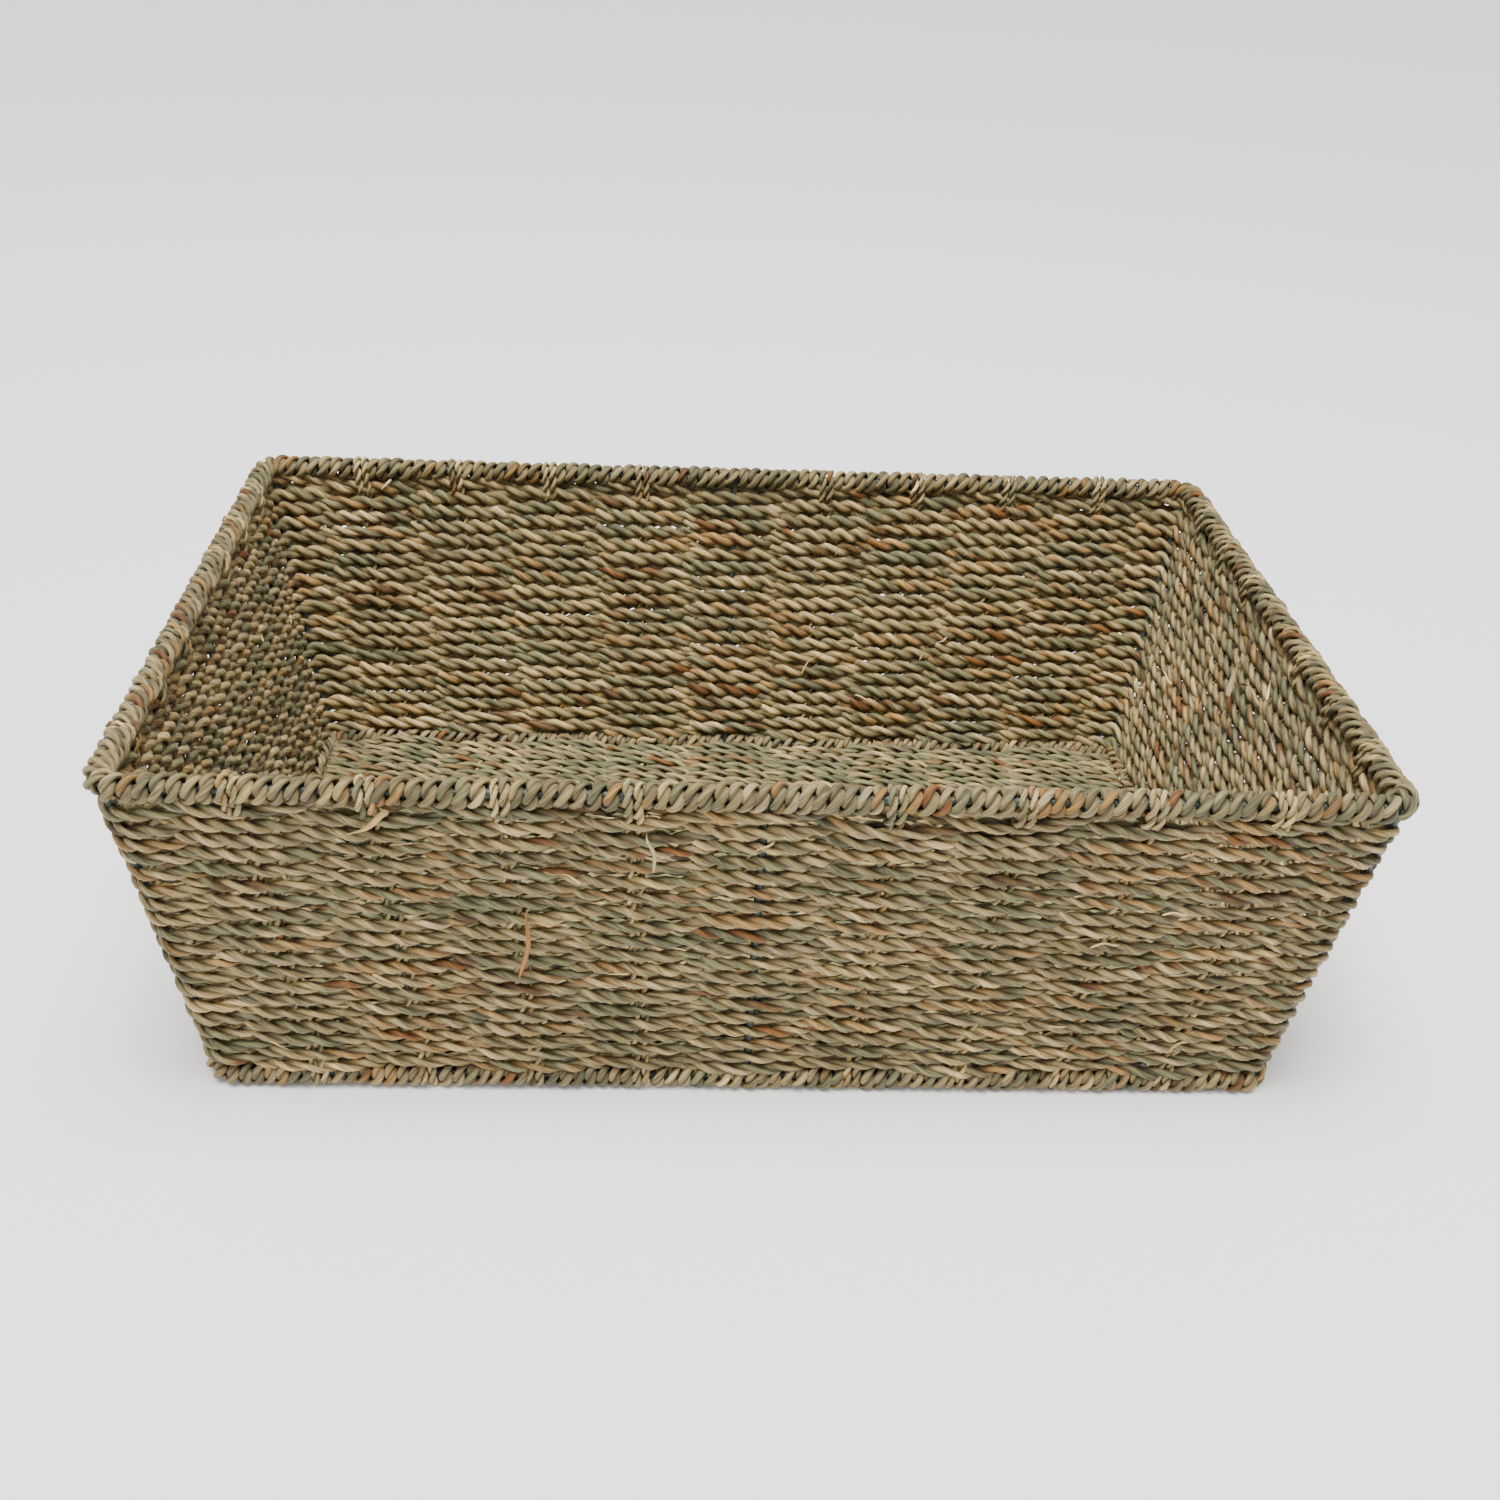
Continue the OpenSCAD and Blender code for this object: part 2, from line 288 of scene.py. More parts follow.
WALL_LEAVES = Palette(
    (26, (184, 166, 116)),
    (26, (158, 147, 102)),
    (22, (134, 133, 94)),
    (10, (208, 188, 138)),
    (9, (176, 144, 88)),
    (2, (134, 90, 38)),
    (2, (110, 84, 44)),
)
FLOOR_LEAVES = Palette(
    (28, (164, 154, 108)),
    (28, (140, 138, 94)),
    (20, (120, 124, 84)),
    (12, (190, 174, 124)),
    (7, (156, 128, 80)),
    (2.5, (138, 94, 38)),
)
RIM_LEAVES = Palette(
    (30, (194, 178, 122)),
    (24, (172, 159, 106)),
    (14, (210, 195, 142)),
    (20, (146, 143, 98)),
    (9, (184, 145, 76)),
    (2, (150, 100, 40)),
)
BROWN_LEAVES = Palette((50, (158, 106, 50)), (50, (184, 134, 72)))
STRAY_LEAVES = Palette((50, (206, 186, 136)), (25, (178, 146, 92)), (25, (132, 80, 42)))


# ---- meshes made of cords ----

# How a cord changes along its length, and over what lengths
TWIST_DRIFT, THICKNESS_DRIFT, DRIFT_LENGTH = 0.5, 0.08, 20 * MM
PLY_SWELL, SWELL_LENGTH = 0.12, 12 * MM
DRY_LENGTH = 70 * MM

# An open end is rounded over this share of the cord's radius, to a tip of this squared share of its width
END_ROUNDING, END_TIP = 0.6, 0.12

# Each ply begins at its own place in a fibre pattern this big
FIBRE_PATTERN = 50

# The flat layout of the cords: their girth, the edge and span of a strip along and across it, and the
# corner where all end caps go. The caps are inside the weave and have one dark tint.
LAYOUT_GIRTH = 11 * MM
ALONG_EDGE, ALONG_SPAN = 0.004, 0.992
ACROSS_EDGE, ACROSS_SPAN = 0.06, 0.88
CAP_CORNER = 0.002
CAP_TINT = 0.25


class Cords:
    """Gathers twisted cords into one closed mesh, with its colours, painted shade included, and its two UV
    maps.
    """

    def __init__(self, name, section=PLAIN):
        self.name = name
        self.section = section
        self.verts, self.quads, self.caps = [], [], []
        self.uv, self.tint, self.runs = [], [], []
        self.count = 0

    def add(self, path, out, diameter, lay, rng, leaves, closed=False, squash=(1, 1), leaf=USUAL_LEAF,
            facing=0, open_shade=0):
        """Adds one cord along a path. out says which way is outward at each point.

        squash is outward and then across, and leaf is the usual length of a leaf in a ply.
        facing is 1 where the cord lies outside its stakes and -1 inside; its hidden side gets painted shade.
        open_shade makes the painted groove shade darker on the outward side and lighter on the other.
        """
        section, sides, n = self.section, self.section.sides, len(path)
        if closed:
            following, leading = np.roll(path, -1, axis=0), np.roll(path, 1, axis=0)
        else:
            following = np.append(path[1:], 2 * path[-1:] - path[-2:-1], axis=0)
            leading = np.append(2 * path[:1] - path[1:2], path[:-1], axis=0)
        forward = unit(following - leading)
        outward = unit(out - forward * np.sum(out * forward, axis=1, keepdims=True))
        across = np.cross(forward, outward)
        gaps = np.linalg.norm(following - path, axis=1)
        s = np.concatenate([[0], np.cumsum(gaps)])
        total = s[-1] if closed else s[-2]
        turns = total / lay
        if closed:
            turns = round(turns)
        knots = total / DRIFT_LENGTH
        twist = TAU * (turns * s[:n] / total + rng.uniform())
        twist = twist + TWIST_DRIFT * wander(rng, n, knots, closed)

        radius = diameter / 2 * (1 + THICKNESS_DRIFT * wander(rng, n, knots, closed))
        if not closed:
            reach = np.minimum(s[:n], total - s[:n]) / (END_ROUNDING * np.mean(radius))
            radius = radius * np.sqrt(np.clip(reach * (2 - reach), END_TIP, 1) * (reach < 1) + (reach >= 1))
        shape = np.repeat(section.points[None], n, axis=0) * radius[:, None, None]
        half = sides // 2
        for ply in range(2):
            swell = 1 + PLY_SWELL * wander(rng, n, total / SWELL_LENGTH, closed)
            shape[:, ply * half:(ply + 1) * half] *= swell[:, None, None]
        c, d = np.cos(twist)[:, None], np.sin(twist)[:, None]
        x = (shape[..., 0] * c - shape[..., 1] * d) * squash[0]
        y = (shape[..., 0] * d + shape[..., 1] * c) * np.broadcast_to(squash[1], n)[:, None]
        verts = path[:, None] + x[..., None] * outward[:, None] + y[..., None] * across[:, None]
        self.verts.append(verts.reshape(-1, 3))

        rings = n if closed else n - 1
        i, j = np.meshgrid(np.arange(rings), np.arange(sides), indexing="ij")
        i, j = i.ravel(), j.ravel()
        i2, j2 = (i + 1) % n, (j + 1) % sides
        corner_rings = np.stack([i, i, i2, i2], axis=1)
        corner_sides = np.stack([j, j2, j2, j], axis=1)
        self.quads.append(self.count + corner_rings * sides + corner_sides)
        if not closed:
            first = self.count + np.arange(sides)
            self.caps += [first, first[::-1] + (n - 1) * sides]

        ply_of = (j >= half).astype(int)
        offsets = rng.uniform(0, FIBRE_PATTERN, 2)
        steps = np.stack([i, i, i + 1, i + 1], axis=1)
        u = s[steps]
        local = j - ply_of * half
        v = np.stack([local, local + 1, local + 1, local], axis=1) / half + offsets[ply_of][:, None]
        self.uv.append(np.stack([u, v], axis=2))

        colours = np.stack([leaves.along(rng, s[:n], leaf) for _ in range(2)])
        colours = colours * (1 + wander(rng, n, total / DRY_LENGTH, closed)[:, None] * DRY_TONE)
        # Painted shade: the grooves between the plies are darkened, more on the outward side by open_shade,
        # and so is a cord's side hidden against the stakes
        outward_shade_factor = 1 + open_shade * np.clip(x / radius[:, None], -1, 1)
        painted_groove_shade = np.minimum((1 - section.height[corner_sides]) * outward_shade_factor[corner_rings, corner_sides], 1)
        facing = np.broadcast_to(facing, n)[:, None]
        hidden = np.clip(-x / radius[:, None] * facing, 0, 1) * np.where(facing > 0, INNER_SIDE_SHADE_SHARE, 1)
        hidden = hidden[corner_rings, corner_sides]
        # The leaf colours times the painted groove shade and the painted hidden-side shade
        tint = np.ones((len(i), 4, 4))
        tint[..., :3] = colours[ply_of[:, None], corner_rings]
        tint[..., :3] *= (1 - painted_groove_shade[..., None] * GROOVE_SHADE) * (1 - hidden[..., None] * HIDDEN_SHADE)
        self.tint.append(tint)
        self.runs.append((rings, total))
        self.count += n * sides

    def bake_layout(self):
        """Lays every cord out as strips of a square, with a margin round each strip."""
        sides = self.section.sides
        length = sum(total for _, total in self.runs)
        row_length = math.sqrt(length * LAYOUT_GIRTH)
        folds = [max(int(round(total / row_length)), 1) for _, total in self.runs]
        rows = sum(folds)
        out, row = [], 0
        for (rings, _), fold in zip(self.runs, folds):
            i, j = np.meshgrid(np.arange(rings), np.arange(sides), indexing="ij")
            i, j = i.ravel(), j.ravel()
            at = i * fold // rings
            start = np.ceil(at * rings / fold)
            end = np.ceil((at + 1) * rings / fold)
            low = (i - start) / (end - start)
            high = (i + 1 - start) / (end - start)
            u = ALONG_EDGE + ALONG_SPAN * np.stack([low, low, high, high], axis=1)
            v = np.stack([j, j + 1, j + 1, j], axis=1) / sides
            v = (row + at[:, None] + ACROSS_EDGE + ACROSS_SPAN * v) / rows
            out.append(np.stack([u, v], axis=2))
            row += fold
        return np.concatenate(out)

    def build(self, material, replaced):
        """Makes the piece. Whatever would lie below the floor's plane is pressed flat on it."""
        verts = np.concatenate(self.verts)
        verts[:, 2] = np.maximum(verts[:, 2], 0)
        quads = np.concatenate(self.quads)
        mesh = bpy.data.meshes.new(self.name)
        mesh.vertices.add(len(verts))
        mesh.vertices.foreach_set("co", verts.ravel())
        sides = self.section.sides
        corners = np.concatenate([quads.ravel()] + [cap[::-1] for cap in self.caps])
        sizes = np.concatenate([np.full(len(quads), 4), np.full(len(self.caps), sides)]).astype(int)
        mesh.loops.add(len(corners))
        mesh.loops.foreach_set("vertex_index", corners)
        mesh.polygons.add(len(sizes))
        mesh.polygons.foreach_set("loop_start", np.concatenate([[0], np.cumsum(sizes)[:-1]]))
        mesh.polygons.foreach_set("use_smooth", np.ones(len(sizes), bool))
        mesh.update(calc_edges=True)
        ends = np.empty(2 * len(mesh.edges), int)
        mesh.edges.foreach_get("vertices", ends)
        first, second = (ends.reshape(-1, 2) % sides).T
        groove = mesh.attributes.new("sharp_edge", "BOOLEAN", "EDGE")
        groove.data.foreach_set("value", (first == second) & (first % self.section.per_ply == 0))

        spare = len(corners) - quads.size
        for name, data in (("Cord", np.concatenate(self.uv)), ("OFBake", self.bake_layout())):
            layer = mesh.uv_layers.new(name=name)
            flat = np.concatenate([data.reshape(-1, 2), np.full((spare, 2), CAP_CORNER)])
            layer.data.foreach_set("uv", flat.ravel())
        tint = mesh.color_attributes.new("Tint", "FLOAT_COLOR", "CORNER")
        flat = np.concatenate([np.concatenate(self.tint).reshape(-1, 4), np.full((spare, 4), CAP_TINT)])
        tint.data.foreach_set("color", flat.ravel())
        mesh.materials.append(material)
        piece = bpy.data.objects.new(self.name, mesh)
        bpy.context.scene.collection.objects.link(piece)
        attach(piece, "root")
        if replaced:
            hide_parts(*replaced)


# ---- materials ----

def new_material(name):
    material = bpy.data.materials.new(name)
    material.use_nodes = True
    nodes, links = material.node_tree.nodes, material.node_tree.links
    nodes.clear()
    shader = nodes.new("ShaderNodeBsdfPrincipled")
    output = nodes.new("ShaderNodeOutputMaterial")
    links.new(shader.outputs["BSDF"], output.inputs["Surface"])
    return material, nodes, links, shader


def math_node(nodes, links, operation, a, b):
    """A sum or product of two values, each a number or another node's output."""
    node = nodes.new("ShaderNodeMath")
    node.operation = operation
    for socket, value in zip(node.inputs, (a, b)):
        if isinstance(value, (int, float)):
            socket.default_value = value
        else:
            links.new(value, socket)
    return node.outputs[0]


def ranged(nodes, links, value, low, high, to_low, to_high):
    """A value that goes from one range to another."""
    node = nodes.new("ShaderNodeMapRange")
    links.new(value, node.inputs["Value"])
    node.inputs["From Min"].default_value = low
    node.inputs["From Max"].default_value = high
    node.inputs["To Min"].default_value = to_low
    node.inputs["To Max"].default_value = to_high
    return node.outputs["Result"]


# Fibres to a metre along a ply and to its width, and the share of each kind in the streaks
WIDE_FIBRES, FINE_FIBRES = (75, 6), (260, 17)
WIDE_SHARE, FINE_SHARE = 0.6, 0.4
STREAK_RANGE, STREAK_TONES = (0.36, 0.64), (0.38, 1.44)
FINE_RANGE, FINE_ROUGHNESS = (0.3, 0.7), (0.78, 0.52)
FIBRE_DEPTH = 0.24 * MM


def seagrass(name, brightness=1.0):
    """Dry twisted leaf: patchy colour with painted groove shade from the mesh, fibre streaks along each ply,
    and an overall brightness, which on some copies holds painted shade.
    """
    material, nodes, links, shader = new_material(name)
    tint = nodes.new("ShaderNodeVertexColor")
    tint.layer_name = "Tint"
    uv = nodes.new("ShaderNodeUVMap")
    uv.uv_map = "Cord"

    def fibres(along, around):
        mapping = nodes.new("ShaderNodeMapping")
        mapping.inputs["Scale"].default_value = (along, around, 1)
        links.new(uv.outputs["UV"], mapping.inputs["Vector"])
        noise = nodes.new("ShaderNodeTexNoise")
        noise.noise_dimensions = "2D"
        noise.inputs["Scale"].default_value = 1
        noise.inputs["Detail"].default_value = 3
        noise.inputs["Roughness"].default_value = 0.6
        links.new(mapping.outputs["Vector"], noise.inputs["Vector"])
        return noise.outputs["Fac"]

    wide = fibres(*WIDE_FIBRES)
    fine = fibres(*FINE_FIBRES)
    streak = math_node(nodes, links, "ADD", math_node(nodes, links, "MULTIPLY", wide, WIDE_SHARE),
                       math_node(nodes, links, "MULTIPLY", fine, FINE_SHARE))
    light = ranged(nodes, links, streak, *STREAK_RANGE, *(tone * brightness for tone in STREAK_TONES))
    scale = nodes.new("ShaderNodeVectorMath")
    scale.operation = "SCALE"
    links.new(tint.outputs["Color"], scale.inputs[0])
    links.new(light, scale.inputs["Scale"])
    links.new(scale.outputs["Vector"], shader.inputs["Base Color"])
    links.new(ranged(nodes, links, fine, *FINE_RANGE, *FINE_ROUGHNESS), shader.inputs["Roughness"])
    bump = nodes.new("ShaderNodeBump")
    bump.inputs["Strength"].default_value = 0.9
    bump.inputs["Distance"].default_value = FIBRE_DEPTH
    links.new(streak, bump.inputs["Height"])
    links.new(bump.outputs["Normal"], shader.inputs["Normal"])
    shader.inputs["Specular IOR Level"].default_value = 0.35
    shader.inputs["Sheen Weight"].default_value = 0.08
    shader.inputs["Sheen Roughness"].default_value = 0.5
    return material


def painted_wire():
    """Grey-green paint on steel wire, a little uneven."""
    material, nodes, links, shader = new_material("painted_wire")
    place = nodes.new("ShaderNodeTexCoord")
    noise = nodes.new("ShaderNodeTexNoise")
    noise.inputs["Scale"].default_value = 160
    noise.inputs["Detail"].default_value = 4
    links.new(place.outputs["Object"], noise.inputs["Vector"])
    ramp = nodes.new("ShaderNodeValToRGB")
    ramp.color_ramp.elements[0].position = 0.35
    ramp.color_ramp.elements[1].position = 0.7
    ramp.color_ramp.elements[0].color = (*linear(44, 53, 45), 1)
    ramp.color_ramp.elements[1].color = (*linear(62, 71, 60), 1)
    links.new(noise.outputs["Fac"], ramp.inputs["Fac"])
    links.new(ramp.outputs["Color"], shader.inputs["Base Color"])
    links.new(ranged(nodes, links, noise.outputs["Fac"], 0.3, 0.7, 0.42, 0.6), shader.inputs["Roughness"])
    bump = nodes.new("ShaderNodeBump")
    bump.inputs["Strength"].default_value = 0.3
    bump.inputs["Distance"].default_value = 0.1 * MM
    links.new(noise.outputs["Fac"], bump.inputs["Height"])
    links.new(bump.outputs["Normal"], shader.inputs["Normal"])
    return material


# ---- the line that the rings and the courses follow ----

class Ring:
    """Rounded rectangle, walked counterclockwise from the middle of the front-left bend.

    Stations are where its walls have a stake or a post: whole numbers from 0, one more at each.
    """

    def __init__(self, half, z):
        self.z = z
        self.half = np.array([half[0], half[1], half[0], half[1]])
        self.reach = np.array([half[1], half[0], half[1], half[0]])
        half_bend = CORNER_R * math.pi / 4
        self.side_length = 2 * (self.half - CORNER_R + half_bend)
        self.side_start = np.concatenate([[0], np.cumsum(self.side_length)])
        self.length = self.side_start[-1]
        at, kinds = [], []
        for side in range(4):
            middle = self.side_start[side] + self.side_length[side] / 2
            for i in range(SIDE_BAYS[side]):
                x = self.half[side] * (2 * i / SIDE_BAYS[side] - 1)
                at.append(middle + x if i else self.side_start[side])
                kinds.append("post" if i in (0, SIDE_BAYS[side] // 2) else "stake")
        self.at = np.array(at + [self.length])
        self.kinds = kinds

    def station(self, d):
        """Stations at distances along the line."""
        return np.interp(d, self.at, np.arange(len(self.at)))

    def point(self, d):
        """Places on the line and the level outward directions there."""
        d = np.mod(d, self.length)
        side = np.clip(np.searchsorted(self.side_start, d, side="right") - 1, 0, 3)
        local = d - self.side_start[side] - self.side_length[side] / 2
        straight = self.half[side] - CORNER_R
        over = np.clip(np.abs(local) - straight, 0, None) / CORNER_R
        x = np.sign(local) * (np.minimum(np.abs(local), straight) + CORNER_R * np.sin(over))
        y = -self.reach[side] + CORNER_R * (1 - np.cos(over))
        nx, ny = np.sign(local) * np.sin(over), -np.cos(over)
        turn = side * math.pi / 2
        c, s = np.cos(turn), np.sin(turn)
        level = np.zeros_like(x)
        places = np.stack([x * c - y * s, x * s + y * c, level + self.z], axis=1)
        outward = np.stack([nx * c - ny * s, nx * s + ny * c, level], axis=1)
        return places, outward


def ring_at(share):
    """The middle of the walls at a share of the way from the base wire to the rim wire."""
    half = BASE_HALF + (RIM_HALF - BASE_HALF) * share
    return Ring(half, BASE_Z + SLOPE_HEIGHT * share)


LEAN = math.atan(np.mean(RIM_HALF - BASE_HALF) / SLOPE_HEIGHT)


def leaning(outward):
    """Level outward directions, turned square to the leaning walls."""
    return outward * math.cos(LEAN) + np.array([0, 0, -math.sin(LEAN)])


# ---- weave ----

def over_under(station, parity):
    """In front of one stake and behind the next, hugging each a little."""
    wave = np.cos(math.pi * (station + parity))
    return np.tanh(HUG * wave) / math.tanh(HUG)


def add_course(cords, course, rng):
    """One closed course of the walls. The top ones stray more, and on the front they also sag in places."""
    first, last = BASE_MARGIN / SLOPE_HEIGHT, 1 - RIM_MARGIN / SLOPE_HEIGHT
    share = first + (last - first) * (course + 0.5) / COURSES
    ring = ring_at(share)
    count = int(ring.length / RING_STEP)
    d = np.arange(count) * ring.length / count
    places, outward = ring.point(d)
    outward = leaning(outward)
    short_side = np.clip((np.abs(outward[:, 0]) - BEND_START) / BEND_SPAN, 0, 1)
    back = np.clip(outward[:, 1], 0, 1) * (1 - short_side)
    front = np.clip(-outward[:, 1], 0, 1)
    reach = WEAVE_REACH + (SHORT_SIDE_REACH - WEAVE_REACH) * short_side + (BACK_REACH - WEAVE_REACH) * back
    reach = reach * (1 + REACH_DRIFT * wander(rng, count, REACH_KNOTS, True))
    side = over_under(ring.station(d), course + 1)
    places = places + outward * (reach * side)[:, None]
    near_rim = max(0, 1 - (COURSES - 1 - course) / UNTIDY_COURSES)
    untidy = near_rim * (FRONT_UNTIDINESS[0] + FRONT_UNTIDINESS[1] * front)
    hollows = np.clip(wander(np.random.default_rng(HOLLOW_SEED), count, HOLLOW_KNOTS, True), 0, 1)
    places[:, 2] -= FRONT_SAG * near_rim * (SAG_SHARES[0] + SAG_SHARES[1] * hollows) * front
    places[:, 2] += (WAVE[0] + WAVE[1] * untidy) * MM * wander(rng, count, WAVE_KNOTS, True)
    places[:, 2] += (RIPPLE[0] + RIPPLE[1] * untidy) * MM * wander(rng, count, RIPPLE_KNOTS, True)
    places[:, 2] -= (DIP_AT_STAKES[0] + DIP_AT_STAKES[1] * untidy) * MM * side
    width = WEFT_D * rng.uniform(*WEFT_SIZES)
    lay = WEFT_LAY * rng.uniform(*WEFT_LAYS)
    spread = PRESSED[1] + EXTRA_SPREAD * (back + short_side) - FRONT_SLIMNESS * front
    cords.add(places, outward, width, lay, rng, WALL_LEAVES,
              closed=True, squash=(PRESSED[0], spread), facing=side, open_shade=WEFT_SHADE)


def wall_weave(material):
    walls = ["weave_" + side for side in SIDE_NAMES]
    for band, courses in enumerate(np.array_split(np.arange(COURSES), COURSE_BANDS)):
        cords = Cords("wall_courses_%d" % (band + 1))
        for course in courses:
            add_course(cords, int(course), np.random.default_rng(COURSE_SEED + int(course)))
        cords.build(material, walls)


def add_floor_row(cords, row, rng):
    """One row of the floor, level at its ends and over and under the stakes between them."""
    run = BASE_HALF[0] - FLOOR_END_MARGIN
    room = BASE_HALF[1] - FLOOR_MARGIN
    x = np.linspace(-run, run, int(2 * run / RING_STEP))
    count = len(x)
    y = -room + 2 * room * (row + 0.5) / FLOOR_ROWS
    station = LONG_BAYS * (x / (2 * BASE_HALF[0]) + 0.5)
    fade = np.clip((run - np.abs(x)) / FLOOR_FADE, 0, 1)
    reach = FLOOR_REACH * fade * (1 + FLOOR_REACH_DRIFT * wander(rng, count, FLOOR_REACH_KNOTS))
    side = over_under(station, row)
    sway = FLOOR_SWAY * wander(rng, count, FLOOR_SWAY_KNOTS) * fade
    places = np.stack([x, y + sway, BASE_Z + reach * side], axis=1)
    up = np.zeros_like(places)
    up[:, 2] = 1
    width = FLOOR_CORD_D * rng.uniform(*FLOOR_SIZES)
    lay = WEFT_LAY * rng.uniform(*FLOOR_LAYS)
    cords.add(places, up, width, lay, rng, FLOOR_LEAVES,
              squash=FLOOR_PRESSED, facing=FLOOR_FACING * side, open_shade=FLOOR_SHADE)


def floor_weave(material):
    for band, rows in enumerate(np.array_split(np.arange(FLOOR_ROWS), FLOOR_BANDS)):
        cords = Cords("floor_rows_%d" % (band + 1))
        for row in rows:
            add_floor_row(cords, int(row), np.random.default_rng(ROW_SEED + int(row)))
        cords.build(material, ["weave_floor"])


# ---- bindings ----

# A binding's lay, its section, how far its middle is off the wire's surface, and its small unevennesses
BINDING_LAY = 15.5 * MM
BINDING_PRESSED = (0.84, 1.22)
BINDING_SEAT = 0.37
WINDING_STEP, WINDING_BLUR = 0.05 * MM, 1.6 * MM
PHASE_DRIFT, PHASE_DRIFT_LENGTH = 0.3, 11 * MM
SEAT_DRIFT, SEAT_DRIFT_LENGTH = 0.06, 9 * MM

# Turns move apart by this much beside a post, and less at a corner, over a length that fades out
POST_GAP, CORNER_GAP, GAP_FADE = 1.7 * MM, 0.6 * MM, 6 * MM


def winding(ring, turn_pitch, radius, stake_phase, posts_above, rng):
    """Path of a cord wound round a ring wire, and the way out from the wire at each point.

    The cord passes each stake at stake_phase, the angle from straight outward. posts_above is 1 where the
    posts are above the ring and -1 where they are below, and the turns make room for them there.
    """
    zones = [STAKE_ROOM if kind == "stake" else 0 for kind in ring.kinds]
    phases = [stake_phase if kind == "stake" else -posts_above * math.pi / 2 for kind in ring.kinds]
    zones.append(zones[0])
    phases.append(phases[0])
    along, turned = [0.0], [phases[0]]
    for j in range(len(ring.kinds)):
        start = ring.at[j] + zones[j] / 2
        end = ring.at[j + 1] - zones[j + 1] / 2
        part = ((phases[j + 1] - phases[j]) / TAU) % 1
        whole = round((end - start) / turn_pitch - part)
        along += [start, end]
        turned += [turned[-1], turned[-1] + TAU * (whole + part)]
    along.append(ring.length)
    turned.append(turned[-1])
    d = np.arange(0, ring.length, WINDING_STEP)
    angle = np.interp(d, along, turned)
    window = int(WINDING_BLUR / WINDING_STEP)
    lap = turned[-1] - turned[0]
    padded = np.concatenate([angle[-window:] - lap, angle, angle[:window] + lap])
    angle = np.convolve(padded, np.ones(window) / window, "same")[window:-window]
    angle = angle + PHASE_DRIFT * wander(rng, len(d), ring.length / PHASE_DRIFT_LENGTH, True)
    spread = np.zeros_like(d)
    for at, kind in zip(ring.at, ring.kinds):
        if kind == "post":
            gap = (d - at + ring.length / 2) % ring.length - ring.length / 2
            room = CORNER_GAP if at in ring.side_start else POST_GAP
            spread += np.tanh(gap / MM) * np.exp(-((gap / GAP_FADE) ** 2)) * room
    places, outward = ring.point(d + spread * (1 + posts_above * np.sin(angle)) / 2)
    spoke = outward * np.cos(angle)[:, None] + np.array([0, 0, 1]) * np.sin(angle)[:, None]
    out = radius * (1 + SEAT_DRIFT * wander(rng, len(d), ring.length / SEAT_DRIFT_LENGTH, True))
    return np.concatenate([places + spoke * out[:, None], spoke], axis=1)


def binding(prefix, ring, material, leaves, thickness, pitch, stake_phase, posts_above, seed):
    """One long cord wound all the way round a ring wire."""
    rng = np.random.default_rng(seed)
    radius = WIRE_R + BINDING_SEAT * thickness
    path = winding(ring, pitch, radius, stake_phase, posts_above, rng)
    path = even_path(path, BINDING_STEP, closed=True)
    cords = Cords(prefix + "_wraps", FINE)
    cords.add(path[:, :3], path[:, 3:], thickness, BINDING_LAY, rng, leaves,
              closed=True, squash=BINDING_PRESSED, leaf=BINDING_LEAF)
    cords.build(material, ["%s_%s" % (prefix, side) for side in SIDE_NAMES])


# ---- stakes ----

def arc(radius, *degrees):
    """Points in mm round a ring wire's middle: outward from the wall, and up it."""
    return [(radius / MM * math.cos(a), radius / MM * math.sin(a)) for a in np.radians(degrees)]


def stake_side_points(side, i, strand, foot):
    """A strand's line from its tucked end over the rim wire, down the wall and round the base wire.

    The line is first drawn in mm on the wall, as distances outward from it and up from the base wire.
    A through foot leads to the floor, and a tucked one turns up again inside the wall.
    """
    half_base, half_rim = (BASE_HALF[0], RIM_HALF[0]) if side % 2 == 0 else (BASE_HALF[1], RIM_HALF[1])
    reach_base, reach_rim = (BASE_HALF[1], RIM_HALF[1]) if side % 2 == 0 else (BASE_HALF[0], RIM_HALF[0])
    share = 2 * i / SIDE_BAYS[side] - 1
    lean = math.atan((reach_rim - reach_base) / SLOPE_HEIGHT)
    slope = SLOPE_HEIGHT / math.cos(lean)
    rise = slope / MM
    line = [(-0.6, rise - 15), (-3.4, rise - 7)]
    line += [(outward, rise + v) for outward, v in arc(WIRE_R + RIM_LOOP, 170, 130, 90, 50, 10)]
    line += [(3.4, rise - 7), (0.4, rise - 14)]
    line += [(0.3, v) for v in np.linspace(rise - 30, 16, 6)]
    line += [(1.4, 9)] + arc(WIRE_R + BASE_LOOP, 20, -20, -60, -90)
    if foot == "tucked":
        line += arc(WIRE_R + BASE_LOOP, -130, -170) + [(-0.8, 9)]
    turn = Matrix.Rotation(side * math.pi / 2, 3, "Z")
    tilt = Matrix.Rotation(lean, 3, "X")
    points = []
    for outward, v in line:
        v *= MM
        x = share * (half_base + (half_rim - half_base) * np.clip(v / slope, 0, 1)) + strand * STRAND_OFFSET
        local = tilt @ Vector((0, -outward * MM, v))
        points.append(turn @ Vector((x, local.y - reach_base, local.z + BASE_Z)))
    return [tuple(p) for p in points]


def floor_run(start, end):
    """Points between two feet of a cross stake, level through the middle of the floor."""
    spans = 6
    ys = np.linspace(start[1], end[1], spans + 1)
    return [(start[0] + (end[0] - start[0]) * k / spans, y, BASE_Z) for k, y in enumerate(ys)]


